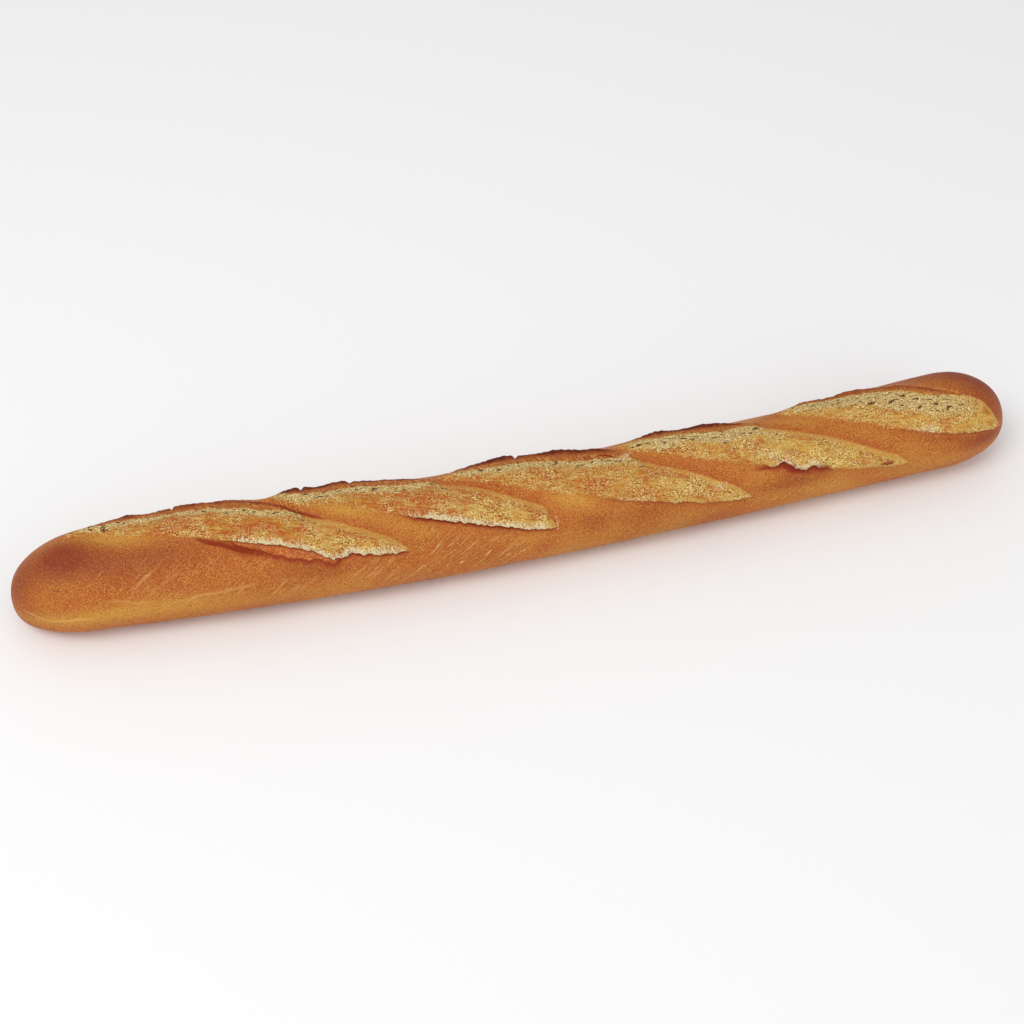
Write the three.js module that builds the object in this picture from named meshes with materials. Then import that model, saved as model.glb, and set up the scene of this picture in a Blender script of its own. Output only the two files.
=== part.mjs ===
// A whole baguette lying on its flattened underside, with five slanting scores across its top.
// +X runs from the low left tip to the right tip, -Y faces the viewer and +Z is up. Millimetres, degrees.
// A place on the crust is a pair: s, the distance from the left tip, and phi, the angle round the loaf
// from its top line, positive towards the viewer.
import * as THREE from 'three';

// The body of the loaf.
const LENGTH = 600;
const HALF_WIDTHS = [27, 30.4, 30.7, 29.4, 28.3, 28.5, 31.2]; // evenly spaced from tip to tip
const HEIGHTS = [47, 55.8, 54, 51.2, 49.2, 49.6, 54.6]; // at the same places
const WAIST = 0.45; // height of the widest line, as a share of the loaf's height
const FLATTENING = 3.5; // how far the round underside is pressed flat
const SIDEWAYS_BOW = 12.4; // how far the middle bows towards the viewer

// The rounded ends: length, the power that rounds each side, and how far the tip droops.
const LEFT_END = { length: 40, side: 2.15, upper: 2.25, lower: 3.4, droop: 0.12 };
const RIGHT_END = { length: 45, side: 2.2, upper: 1.95, lower: 3.1, droop: 0.12 };

// The scores, left to right. Each opens between an upper edge on the far side and a lower edge that
// curls down the near side. The upper edge lies back until `turn` and then comes forward. Its raised lip
// reaches its height at `lipRise`, drops from `lipFall` and stops at `lipEnd`, where the edge curls down
// by `hook` degrees. The last part of the upper edge drops by `blunt` degrees to a blunt tip. `frill` is how
// strongly the near end of the lower edge stands over the crust. Each of its `bites` has a place, a depth
// and a reach along the loaf, and a depth below zero is a lobe that hangs lower.
const SCORES = [
  {
    start: 28, end: 224, farAngle: -26, nearAngle: 62, turn: 0.57, sweep: 1.2, blunt: 5, bluntFrom: 0.94,
    lip: 3.0, lipRise: 0.2, lipFall: 0.4, lipEnd: 0.7, hook: 5, frill: 1, bites: [[179, -4.2, 9]],
  },
  {
    start: 140, end: 308, farAngle: -26, nearAngle: 66, turn: 0.58, sweep: 1.1, blunt: 20, bluntFrom: 0.95,
    lip: 4.2, lipRise: 0.14, lipFall: 0.2, lipEnd: 0.62, hook: 5, frill: 1, bites: [],
  },
  {
    start: 240, end: 427, farAngle: -26, nearAngle: 80, turn: 0.53, sweep: 1.38, blunt: 6, bluntFrom: 0.94,
    lip: 4.0, lipRise: 0.2, lipFall: 0.5, lipEnd: 0.64, hook: 5, frill: 0.35, bites: [],
  },
  {
    start: 345, end: 528, farAngle: -26, nearAngle: 84, turn: 0.45, sweep: 1.45, blunt: 4, bluntFrom: 0.94,
    lip: 3.4, lipRise: 0.2, lipFall: 0.38, lipEnd: 0.52, hook: 5, frill: 0.7, bites: [[447, 3.8, 4], [465, 4.2, 4.5]],
  },
  {
    start: 450, end: 593, farAngle: -30, nearAngle: 70, turn: 0.5, sweep: 1.6, blunt: 26, bluntFrom: 0.88,
    lip: 3.0, lipRise: 0.2, lipFall: 0.4, lipEnd: 0.8, hook: 0, frill: 0.35, bites: [],
  },
];
const EDGE_DIP = 20; // how far the upper edge leans back behind its two ends
const HOOK_WIDTH = 0.1; // how far along the score the hook at a lip's end reaches
const LIP_BACK = 8; // how gently the lip rises out of the crust behind it
const LIP_FACE = 5; // how steeply its torn face drops towards the bloom
const LIP_LEAN = { depth: 1.2, width: 3 }; // how far the lip's crest leans over its face
const LIP_WAVE = { height: 0.16, length: 31 };
const LIP_NOTCHES = [197, 294]; // small breaks in the second and third lips
const NOTCH = { depth: 0.75, width: 3 };
const TEAR = { depth: 0.9, from: 11, width: 4 }; // shallow valley of torn crumb below the lip's face
const SWELL = 2.6; // height of the bloom between the two edges
const FRILL = { height: 1.0, width: 4 }; // torn edge that hangs over the crust at the near end
const ROLLED_EDGE = { height: 0.6, width: 4 }; // crust edge standing in front of the far half
const SHADOW_GROOVE = { depth: 1.0, width: 3 };
const STRIP_FOLD = { depth: 0.5, width: 4 }; // dip along the bloom's soft far rim, past the lip
const UNEVENNESS = { height: 0.45, length: 83, turns: 3 };

// The faceting.
const RINGS = 130;
const ROWS = 44;
const END_FINENESS = 1.7;
const UNDERSIDE_COARSENESS = 0.45;
const EDGE_STEP = 0.01; // degrees between the two sides of a torn edge
const CRUST_COLOUR = 0xbb7039;

const radians = THREE.MathUtils.degToRad;
const clamp = THREE.MathUtils.clamp;
const smooth = (x, low, high) => THREE.MathUtils.smoothstep(x, low, high);
const bell = (x, width) => Math.exp(-((x / width) ** 2));
const MM_PER_DEGREE = radians(HALF_WIDTHS[3]);

// A smooth curve through evenly spaced values, read at a share of the way from the first to the last.
function through(values, share) {
  const place = clamp(share, 0, 1) * (values.length - 1);
  const index = Math.min(Math.floor(place), values.length - 2);
  const t = place - index;
  const b = values[index];
  const c = values[index + 1];
  const a = index > 0 ? values[index - 1] : 2 * b - c;
  const d = index + 2 < values.length ? values[index + 2] : 2 * c - b;
  return 0.5 * (2 * b + (c - a) * t + (2 * a - 5 * b + 4 * c - d) * t ** 2 + (3 * b - a - 3 * c + d) * t ** 3);
}

// The ring of the loaf at s, before the scores: half width, middle height, rise above it and fall below it.
function section(s) {
  const left = clamp(1 - s / LEFT_END.length, 0, 1) ** 2;
  const right = clamp((s - LENGTH + RIGHT_END.length) / RIGHT_END.length, 0, 1) ** 2;
  const round = (side) => (1 - left) ** (1 / LEFT_END[side]) * (1 - right) ** (1 / RIGHT_END[side]);
  const body = through(HALF_WIDTHS, s / LENGTH);
  const height = through(HEIGHTS, s / LENGTH);
  const middle = height * (WAIST - LEFT_END.droop * left - RIGHT_END.droop * right);
  return {
    halfWidth: body * round('side'),
    middle,
    rise: (height - middle) * round('upper'),
    fall: (middle + FLATTENING) * round('lower'),
    fullness: round('side'),
    bow: -SIDEWAYS_BOW * Math.sin((Math.PI * s) / LENGTH),
  };
}

// The angles of a score's two edges at a share t of its length.
function edges(score, t) {
  const span = score.nearAngle - score.farAngle;
  const after = clamp((t - score.turn) / (1 - score.turn), 0, 1);
  const before = clamp(t / score.turn, 0, 1);
  const curl = 2 * smooth(t, score.lipEnd - 0.015, score.lipEnd + 0.015) - 1;
  const hook = score.hook * curl * bell(t - score.lipEnd, HOOK_WIDTH);
  const tip = score.blunt * smooth(t, score.bluntFrom, 1);
  const s = score.start + t * (score.end - score.start);
  const bitten = score.bites.reduce((sum, [at, depth, reach]) => sum + depth * bell(s - at, reach), 0);
  return {
    upper: score.farAngle + (span - score.blunt) * after - EDGE_DIP * Math.sin(Math.PI * before) + hook + tip,
    lower: score.farAngle + span * (1 - (1 - t) ** score.sweep) - bitten / MM_PER_DEGREE,
  };
}

// How strongly a score's lip stands at s, with its slow wave and its notches.
function lipStrength(score, s) {
  const t = (s - score.start) / (score.end - score.start);
  const ends = smooth(t, 0, score.lipRise) * (1 - smooth(t, score.lipFall, score.lipEnd + 0.02));
  const wave = 1 + LIP_WAVE.height * Math.sin((2 * Math.PI * s) / LIP_WAVE.length);
  const notches = LIP_NOTCHES.reduce((left, at) => left * (1 - NOTCH.depth * bell(s - at, NOTCH.width)), 1);
  return ends * wave * notches;
}

// How far the crust is raised outwards, and how far it leans forward along the ring, at s and phi.
function relief(s, phi) {
  const turns = UNEVENNESS.turns * radians(phi);
  const wave = Math.sin((2 * Math.PI * s) / UNEVENNESS.length + 1.7 * Math.sin(turns));
  let raise = UNEVENNESS.height * wave * (1 - smooth(Math.abs(phi), 90, 130));
  let lean = 0;
  for (const score of SCORES) {
    const t = (s - score.start) / (score.end - score.start);
    if (t <= 0 || t >= 1) continue;
    const { upper, lower } = edges(score, t);
    const fromUpper = (phi - upper) * MM_PER_DEGREE;
    const toLower = (lower - phi) * MM_PER_DEGREE;
    const lip = lipStrength(score, s);
    const open = smooth(t, 0, 0.12) * (1 - smooth(t, 0.9, 1));
    const side = fromUpper < 0 ? (-fromUpper / LIP_BACK) ** 1.3 : (fromUpper / LIP_FACE) ** 1.5;
    raise += score.lip * lip * Math.exp(-side);
    lean += LIP_LEAN.depth * lip * bell(fromUpper, LIP_LEAN.width);
    raise -= STRIP_FOLD.depth * smooth(t, score.lipEnd, score.lipEnd + 0.1) * open * bell(fromUpper, STRIP_FOLD.width);
    const far = smooth(t, 0.02, 0.15) * (1 - smooth(t, 0.38, 0.52));
    raise += ROLLED_EDGE.height * far * bell(toLower, ROLLED_EDGE.width);
    if (fromUpper > 0 && toLower > 0) {
      const across = fromUpper / (fromUpper + toLower);
      raise += SWELL * open * Math.sin(Math.PI * across ** 1.3);
      raise -= TEAR.depth * lip * bell(fromUpper - TEAR.from, TEAR.width);
      raise += FRILL.height * score.frill * open * smooth(t, 0.42, 0.58) * bell(toLower, FRILL.width);
    }
    if (toLower < 0) {
      const near = score.frill * smooth(t, 0.42, 0.58) * (1 - smooth(t, 0.92, 1));
      raise -= SHADOW_GROOVE.depth * near * bell(toLower, SHADOW_GROOVE.width);
    }
  }
  return { raise, lean };
}

// A point of the crust: the plain ring point moved along its outward normal and its forward tangent.
function crustPoint(s, ring, phi) {
  const across = Math.sin(radians(phi));
  const upwards = Math.cos(radians(phi));
  const reach = upwards > 0 ? ring.rise : ring.fall;
  const normal = new THREE.Vector2(-across / ring.halfWidth, upwards / reach).normalize();
  const { raise, lean } = relief(s, phi);
  const fade = smooth(ring.fullness, 0.3, 0.8);
  const y = ring.bow - ring.halfWidth * across + fade * (raise * normal.x - lean * normal.y);
  const z = ring.middle + reach * upwards + fade * (raise * normal.y + lean * normal.x);
  return new THREE.Vector2(y, Math.max(z, 0));
}

// Where rows must run: round the flat of the underside, and along the two sides of every torn edge
// that crosses the ring at s.
function edgeAngles(s, ring) {
  const flat = THREE.MathUtils.radToDeg(Math.acos(-Math.min(ring.middle / ring.fall, 1)));
  const angles = [-flat, flat];
  for (const score of SCORES) {
    const t = (s - score.start) / (score.end - score.start);
    if (t <= 0.02 || t >= 0.98) continue;
    const { upper, lower } = edges(score, t);
    angles.push(upper - EDGE_STEP, upper + EDGE_STEP, lower - EDGE_STEP, lower + EDGE_STEP);
  }
  return angles.sort((a, b) => a - b);
}

// The vertices of one ring, spaced evenly along the crust, closer on top than below, with the nearest
// rows moved onto the torn edges.
function ringVertices(s) {
  const ring = section(s);
  const marks = edgeAngles(s, ring);
  const angles = Array.from({ length: 361 }, (_, k) => k - 180).concat(marks).sort((a, b) => a - b);
  const points = angles.map((phi) => crustPoint(s, ring, phi));
  const travelled = [0];
  for (let k = 1; k < points.length; k += 1) {
    const underside = smooth(Math.abs(angles[k]), 95, 125);
    const weight = 1 - (1 - UNDERSIDE_COARSENESS) * underside;
    travelled.push(travelled[k - 1] + weight * points[k].distanceTo(points[k - 1]));
  }
  const rowsPerLength = ROWS / travelled[travelled.length - 1];
  const knots = [{ row: 0, at: 0 }];
  const marked = new Set();
  for (const mark of marks) {
    const at = travelled[angles.indexOf(mark)] * rowsPerLength;
    const last = knots[knots.length - 1];
    const row = Math.max(Math.round(at), last.row + 1);
    if (at - last.at < 0.35 || Math.abs(row - at) > 0.9) continue;
    knots.push({ row, at });
    marked.add(row);
  }
  knots.push({ row: ROWS, at: ROWS });
  const vertices = [];
  let knot = 0;
  let step = 0;
  for (let row = 0; row < ROWS; row += 1) {
    while (row >= knots[knot + 1].row) knot += 1;
    const from = knots[knot];
    const to = knots[knot + 1];
    const wanted = (from.at + ((row - from.row) / (to.row - from.row)) * (to.at - from.at)) / rowsPerLength;
    while (step < travelled.length - 2 && travelled[step + 1] < wanted) step += 1;
    const gap = travelled[step + 1] - travelled[step];
    const share = gap > 0 ? clamp((wanted - travelled[step]) / gap, 0, 1) : 0;
    const point = points[step].clone().lerp(points[step + 1], share);
    vertices.push(new THREE.Vector3(s, point.x, point.y));
  }
  return { vertices, marked };
}

// Distances from the left tip for the rings: evenly spaced over the crust, closer together on the ends.
function ringPlaces() {
  const samples = 6000;
  const travelled = [0];
  for (let k = 1; k <= samples; k += 1) {
    const s = (LENGTH * k) / samples;
    const before = section(s - LENGTH / samples);
    const here = section(s);
    const onEnd = s < LEFT_END.length || s > LENGTH - RIGHT_END.length;
    const run = Math.hypot(LENGTH / samples, here.halfWidth - before.halfWidth);
    travelled.push(travelled[k - 1] + run * (onEnd ? END_FINENESS : 1));
  }
  const places = [];
  let k = 1;
  for (let ring = 1; ring <= RINGS; ring += 1) {
    const wanted = (travelled[samples] * ring) / (RINGS + 1);
    while (travelled[k] < wanted) k += 1;
    const share = (wanted - travelled[k - 1]) / (travelled[k] - travelled[k - 1]);
    places.push((LENGTH * (k - 1 + share)) / samples);
  }
  for (const notch of LIP_NOTCHES) {
    const gaps = places.map((place) => Math.abs(place - notch));
    places[gaps.indexOf(Math.min(...gaps))] = notch;
  }
  return places;
}

// The closed skin of the loaf: rings joined by pairs of triangles, with a fan over each tip.
function loafGeometry() {
  const rings = ringPlaces().map(ringVertices);
  const vertices = rings.flatMap((ring) => ring.vertices);
  const faces = [];
  for (let i = 0; i + 1 < rings.length; i += 1) {
    for (let j = 0; j < ROWS; j += 1) {
      const next = (j + 1) % ROWS;
      const corners = [i * ROWS + j, i * ROWS + next, (i + 1) * ROWS + next, (i + 1) * ROWS + j];
      const [a, b, c, d] = corners;
      const along = rings[i].marked.has(j) && rings[i + 1].marked.has(j + 1);
      const against = rings[i].marked.has(j + 1) && rings[i + 1].marked.has(j);
      const shorter = vertices[a].distanceTo(vertices[c]) <= vertices[b].distanceTo(vertices[d]);
      if (along !== against ? along : shorter) faces.push(a, b, c, a, c, d);
      else faces.push(a, b, d, b, c, d);
    }
  }
  for (const [s, firstVertex, turned] of [[0, 0, true], [LENGTH, (rings.length - 1) * ROWS, false]]) {
    const tip = vertices.length;
    vertices.push(new THREE.Vector3(s, section(s).bow, section(s).middle));
    for (let j = 0; j < ROWS; j += 1) {
      const here = firstVertex + j;
      const next = firstVertex + ((j + 1) % ROWS);
      if (turned) faces.push(tip, next, here);
      else faces.push(tip, here, next);
    }
  }
  const geometry = new THREE.BufferGeometry().setFromPoints(vertices);
  geometry.setIndex(faces);
  geometry.computeBoundingBox();
  const box = geometry.boundingBox;
  geometry.translate(-(box.min.x + box.max.x) / 2, -(box.min.y + box.max.y) / 2, -box.min.z);
  geometry.computeVertexNormals();
  return geometry;
}

const crust = new THREE.MeshStandardMaterial({ color: CRUST_COLOUR, roughness: 0.7, metalness: 0 });
const baguette = new THREE.Mesh(loafGeometry(), crust);
baguette.name = 'baguette';

const part = new THREE.Group();
part.name = 'baguette_loaf';
part.add(baguette);

export default part;
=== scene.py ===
import logging
import math
from dataclasses import dataclass, field
from enum import Enum
from typing import Union

import bpy
import numpy as np
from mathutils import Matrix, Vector


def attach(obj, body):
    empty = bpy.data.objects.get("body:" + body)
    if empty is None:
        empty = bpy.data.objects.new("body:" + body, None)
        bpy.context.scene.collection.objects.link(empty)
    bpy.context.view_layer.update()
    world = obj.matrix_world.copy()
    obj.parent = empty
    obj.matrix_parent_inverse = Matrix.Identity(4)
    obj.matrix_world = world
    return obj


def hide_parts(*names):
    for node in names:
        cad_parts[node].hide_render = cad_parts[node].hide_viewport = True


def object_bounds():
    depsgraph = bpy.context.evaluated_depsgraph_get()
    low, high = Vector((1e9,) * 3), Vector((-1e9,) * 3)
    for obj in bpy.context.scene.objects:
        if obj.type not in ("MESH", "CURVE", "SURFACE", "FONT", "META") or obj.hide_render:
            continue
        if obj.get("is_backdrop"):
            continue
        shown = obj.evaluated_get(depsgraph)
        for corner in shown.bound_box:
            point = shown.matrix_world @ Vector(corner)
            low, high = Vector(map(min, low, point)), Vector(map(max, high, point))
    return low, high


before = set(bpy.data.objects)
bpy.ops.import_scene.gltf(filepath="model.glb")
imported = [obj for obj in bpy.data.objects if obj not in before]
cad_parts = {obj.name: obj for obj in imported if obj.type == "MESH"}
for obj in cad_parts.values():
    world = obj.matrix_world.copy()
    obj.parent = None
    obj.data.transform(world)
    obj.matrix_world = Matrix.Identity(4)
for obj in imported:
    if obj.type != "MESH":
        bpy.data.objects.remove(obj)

LOG = logging.getLogger("baguette")
METRES = 0.001
Array = np.ndarray
Colour = tuple[float, float, float]
Input = Union["Value", bpy.types.NodeSocket, float, tuple]


class Mask(Enum):
    """What a place on the skin is made of, and where shade and highlights are painted on it. Each is a vertex
    attribute from 0 to 1.
    """

    BLOOM = "bloom"
    RIPE = "ripe"
    CREST = "crest"
    FACE = "face"
    TORN = "torn"
    FRILL = "frill"
    # painted shade: dark red in the clefts under the near edges and in dark creases
    CLEFT_SHADE = "cleft"
    # painted shade: redder crust round the clefts and in the folds above the rims
    SHADE = "shade"
    RIM = "rim"
    SHELF = "shelf"
    RIDGE = "ridge"
    BROWNING = "browning"
    # gold: paler crust, partly painted highlights where the crust faces the light
    GOLD_AND_HIGHLIGHT = "gold"
    TOAST = "toast"
    WRINKLES = "wrinkles"


class End(Enum):
    """The two ends of the loaf."""

    LEFT = "left"
    RIGHT = "right"


class Step(Enum):
    """How a shader value goes from 0 to 1: along a smooth curve, or evenly."""

    SMOOTH = "SMOOTHSTEP"
    EVEN = "LINEAR"


def ramp(x: Array, low: float, high: float) -> Array:
    """Smooth step: t is x's share of the way from low to high, held in 0 to 1, and the result t*t*(3-2t)."""
    t = np.clip((x - low) / (high - low), 0.0, 1.0)
    return t * t * (3.0 - 2.0 * t)


def plateau(x: Array, rise_from: float, rise_to: float, fall_from: float, fall_to: float) -> Array:
    """Smooth step up times 1 minus a smooth step down, so 1 between them and 0 outside."""
    return ramp(x, rise_from, rise_to) * (1.0 - ramp(x, fall_from, fall_to))


def bell(x: Array, width: float) -> Array:
    """Round bump: e to the power of minus (x over width) squared."""
    return np.exp(-((x / width) ** 2))


def linear(red: int, green: int, blue: int) -> Colour:
    """Screen values 0 to 255 as linear light: each share v becomes ((v + 0.055) / 1.055) to the power 2.4."""
    return tuple(((v / 255.0 + 0.055) / 1.055) ** 2.4 for v in (red, green, blue))


@dataclass(frozen=True)
class Roughness:
    """Seeded lattice noise, about -1 to 1, in which each lattice point pulls along its own direction."""

    seed: int = 11
    directions: int = 256

    def table(self) -> Array:
        """Unit directions, one for each lattice hash, drawn once from the seed."""
        drawn = np.random.default_rng(self.seed).normal(size=(self.directions, 3))
        return drawn / np.linalg.norm(drawn, axis=1, keepdims=True)

    def at(self, points: Array, size: float, salt: int = 0) -> Array:
        """Noise at points.

        Each point falls in a lattice cell of the given size. Every corner's direction is dotted with the
        step from that corner, and the eight results are blended by the quintic 6t^5 - 15t^4 + 10t^3.

        Args:
            points: positions in millimetres, with the three coordinates last.
            size: width of a lattice cell in millimetres.
            salt: a number that makes one pattern differ from the next.

        Returns:
            One number for each point.
        """
        table = self.table()
        scaled = points / size + salt * 17.31
        cell = np.floor(scaled).astype(np.int64)
        inside = scaled - cell
        blend = inside ** 3 * (inside * (inside * 6.0 - 15.0) + 10.0)
        total = np.zeros(points.shape[:-1])
        for corner in np.ndindex(2, 2, 2):
            step = np.array(corner)
            spot = cell + step
            mixed = spot[..., 0] * 73856093 ^ spot[..., 1] * 19349663 ^ spot[..., 2] * 83492791
            mixed = (mixed ^ (mixed >> 13)) * 1274126177
            pull = table[(mixed ^ (mixed >> 16)) % self.directions]
            weight = np.prod(np.where(step == 1, blend, 1.0 - blend), axis=-1)
            total += weight * np.sum(pull * (inside - step), axis=-1)
        return total * 1.6

    def along(self, s: Array, size: float, salt: int = 0) -> Array:
        """The noise read along one line, for edges that wander with s."""
        return self.at(np.stack([s, 0.0 * s + 3.7, 0.0 * s + 9.1], axis=-1), size, salt)


@dataclass(frozen=True)
class Score:
    """One slanting cut. Angles are in degrees, lengths in millimetres and turns along it shares of it.

    Attributes:
        start, end: where it begins and stops, in mm from the left tip.
        far_angle, near_angle: where its edges begin, behind the top, and where they meet in front.
        turn, dip: where the far edge turns forward, and how far it dips back before that.
        sweep: the power that curves the near edge.
        lip, lip_rise, lip_fall, lip_end: the lip's height, and where it is full, sinks and has gone.
        blunt, blunt_from: how far the far edge drops to the blunt tip, and from where.
        face, torn: widths of the lip's brown face and of the torn crumb.
        char, ripeness, frill: how charred the lip, how ripe the bloom and how strong the frill is.
        frill_from, frill_to, ragged: where the near edge is frilly, and how ragged it is there.
        shelf_from, shelf_to, shelf_drop: where a second torn shelf lies, in mm from the left tip, and how
            far down it reaches.
        hook, hook_width: how far the far edge curls down where the lip stops, and over what share.
        bites: place, depth and reach in mm of each bite in the near edge. A depth below zero is a lobe.
    """

    start: float
    end: float
    far_angle: float
    near_angle: float
    turn: float
    sweep: float
    lip: float
    lip_rise: float
    lip_fall: float
    lip_end: float
    blunt: float
    blunt_from: float
    face: float
    torn: float
    char: float = 1.0
    ripeness: float = 0.0
    frill: float = 1.0
    frill_from: float = 0.42
    frill_to: float = 1.1
    ragged: float = 0.5
    shelf_from: float = 0.0
    shelf_to: float = 0.0
    shelf_drop: float = 5.0
    hook: float = 5.0
    dip: float = 20.0
    hook_width: float = 0.1
    bites: tuple[tuple[float, float, float], ...] = ()

    def share(self, s: Array) -> Array:
        """Share of the cut's length at s: (s - start) / (end - start)."""
        return (s - self.start) / (self.end - self.start)

    def upper(self, t: Array) -> Array:
        """Angle of the far edge.

        It dips back as a half sine until the turn and then comes forward evenly. A hook of plus or minus
        a few degrees curls it down where the lip stops, and its last part drops to a blunt tip.
        """
        after = np.clip((t - self.turn) / (1.0 - self.turn), 0.0, 1.0)
        before = np.clip(t / self.turn, 0.0, 1.0)
        forward = (self.near_angle - self.far_angle - self.blunt) * after
        curl = 2.0 * ramp(t, self.lip_end - 0.015, self.lip_end + 0.015) - 1.0
        hook = self.hook * curl * bell(t - self.lip_end, self.hook_width)
        tip = self.blunt * ramp(t, self.blunt_from, 1.0)
        return self.far_angle + forward - self.dip * np.sin(np.pi * before) + hook + tip

    def bitten(self, s: Array) -> Array:
        """How far in mm bites take the near edge back at s, or lobes push it out: a sum of bells."""
        return sum((depth * bell(s - place, reach) for place, depth, reach in self.bites), 0.0 * s)

    def lower(self, t: Array) -> Array:
        """Angle of the near edge: far angle plus the span times 1 - (1 - t) to the power of the sweep."""
        span = self.near_angle - self.far_angle
        return self.far_angle + span * (1.0 - (1.0 - np.clip(t, 0.0, 1.0)) ** self.sweep)


@dataclass(frozen=True)
class Spot:
    """A soft patch on the crust: its middle, its reach both ways, its strength and its lean along s."""

    s: float
    phi: float
    reach_s: float
    reach_phi: float
    strength: float
    slant: float = 0.0

    def over(self, s: Array, phi: Array) -> Array:
        """Strength times e to minus the squared distance from the middle, leaned by slant degrees per mm."""
        across = phi - self.phi - self.slant * (s - self.s)
        return self.strength * np.exp(-(((s - self.s) / self.reach_s) ** 2) - (across / self.reach_phi) ** 2)


@dataclass(frozen=True)
class Crease:
    """A fold, or with a depth below zero a ridge, from one place to another. Width and depth are in mm.

    The darkness says how strongly shade is painted in the fold, and the paleness how strongly it is coloured
    as a pale ridge.
    """

    start: tuple[float, float]
    end: tuple[float, float]
    width: float
    depth: float
    darkness: float = 0.0
    paleness: float = 0.0

    def over(self, s: Array, phi: Array, mm_per_degree: float, wander: Array) -> Array:
        """How deep a place lies in the fold, 0 to 1.

        The place's share along the fold is its dot product with the fold's direction over the length
        squared. The result is a bell of the distance from the line, times sin(pi share) to the power 0.5.
        The wander, in mm round the loaf at each s, bends the line.
        """
        run = np.array([self.end[0] - self.start[0], (self.end[1] - self.start[1]) * mm_per_degree])
        ahead, around = s - self.start[0], (phi - self.start[1]) * mm_per_degree + wander
        share = np.clip((ahead * run[0] + around * run[1]) / (run @ run), 0.0, 1.0)
        distance = np.hypot(ahead - share * run[0], around - share * run[1])
        return bell(distance, self.width) * np.sin(np.pi * share) ** 0.5


@dataclass(frozen=True)
class Markings:
    """Where the crust is folded with painted shade, pale, browner, golden (partly painted highlights),
    toasted or finely wrinkled.
    """

    # folds with a darkness get painted shade; ridges with a paleness are pale crust
    creases: tuple[Crease, ...] = (
        Crease((104, 14), (144, 43), 1.2, 1.8, 1.0),
        Crease((122, 30), (146, 46), 3.0, 1.0, 0.4),
        Crease((149, -20), (178, 14), 1.1, 1.0, 0.85),
        Crease((338, -16), (352, -4), 0.8, 0.6, 0.9),
        Crease((346, 6), (360, -12), 1.2, -0.9, paleness=0.3),
        Crease((349, 2), (357, -8), 0.6, 0.4, 0.7),
        Crease((426, 42), (447, 51), 1.5, 0.3, 0.75),
        Crease((443, 46), (453, 52), 2.2, 0.3, 1.0),
        Crease((446, 52), (463, 62), 2.2, 0.3, 0.9),
        Crease((460, 54), (476, 66), 2.2, 0.3, 0.9),
        Crease((505, 74), (515, 74), 1.2, 0.4, 0.9),
        Crease((6, 68), (21, 85), 0.7, -0.5, paleness=0.4),
        Crease((18, 84), (46, 86), 0.7, -0.5, paleness=0.4),
        Crease((66, 60), (84, 38), 0.5, -0.4, paleness=0.3),
        Crease((78, 63), (97, 44), 0.5, -0.4, paleness=0.25),
        Crease((52, 68), (78, 77), 0.6, -0.4, paleness=0.3),
        Crease((86, 82), (137, 70), 0.6, -0.5, paleness=0.4),
    )
    pale: tuple[Spot, ...] = (
        Spot(142, 42, 1.4, 2.0, 0.9),
        Spot(306, 60, 1.4, 8.0, 0.7),
        Spot(354, -4, 5.5, 2.8, 1.1, -1.25),
        Spot(440, 32, 14.0, 8.0, 0.5, 0.5),
        Spot(405, 54, 5.0, 5.0, 0.6),
        Spot(540, 47, 8.0, 5.0, 0.7, 0.5),
    )
    browned: tuple[Spot, ...] = (
        Spot(34, 4, 20, 24, 1.0),
        Spot(60, 26, 50, 18, 0.5),
        Spot(4, 0, 12, 90, 0.6),
        Spot(592, -10, 24, 60, 1.0),
        Spot(570, -40, 60, 36, 0.8),
        Spot(580, 80, 14, 12, 0.5),
        Spot(550, 64, 20, 4, 0.4, 0.5),
        Spot(80, 35, 24, 20, 0.25),
        Spot(392, 100, 40, 22, 0.3),
        Spot(166, 66, 24, 12, 0.45),
        Spot(452, 70, 30, 11, 0.6),
        Spot(345, 70, 34, 14, 0.35),
        Spot(566, 78, 18, 9, 0.4),
    )
    # paler gold crust, partly painted highlights on the lit tops of the strips and the left end's lit band
    golden_and_highlights: tuple[Spot, ...] = (
        Spot(60, -5, 24, 11, 1.1, 0.5),
        Spot(50, 84, 60, 12, 0.8),
        Spot(100, 96, 90, 14, 0.4),
        Spot(187, 0, 13, 13, 1.6, 0.5),
        Spot(229, 38, 12, 10, 0.6, 0.5),
        Spot(318, 36, 14, 12, 1.0, 0.5),
        Spot(292, 70, 12, 9, 0.8),
        Spot(455, -8, 20, 10, 0.5, 0.4),
        Spot(504, 66, 14, 9, 0.6),
        Spot(485, 30, 26, 14, 0.35, 0.5),
        Spot(540, 92, 34, 16, 0.5),
        Spot(520, 70, 16, 14, 0.4),
    )
    toasted: tuple[Spot, ...] = (
        Spot(98, 3, 22, 7, 0.9, 0.2),
        Spot(137, 16, 14, 7, 0.7, 0.4),
        Spot(236, 14, 26, 14, 1.5, 0.4),
        Spot(328, 20, 22, 10, 0.5, 0.4),
        Spot(368, 22, 10, 8, 0.7, 0.5),
        Spot(415, 14, 26, 5, 0.6, 0.5),
        Spot(528, 12, 9, 8, 0.8, 0.6),
        Spot(549, 34, 10, 6, 0.7, 1.0),
        Spot(568, 26, 7, 5, 0.6),
    )
    wrinkled: tuple[Spot, ...] = (
        Spot(247, 84, 40, 26, 1.3),
        Spot(120, 82, 34, 12, 0.6),
        Spot(158, 80, 30, 16, 0.5),
        Spot(480, 90, 60, 16, 0.4),
        Spot(90, 56, 60, 26, 0.3),
    )


@dataclass(frozen=True)
class LoafEnd:
    """How an end rounds off: its length, the powers that round it and how far its tip droops."""

    length: float
    side: float
    upper: float
    lower: float
    droop: float


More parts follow.
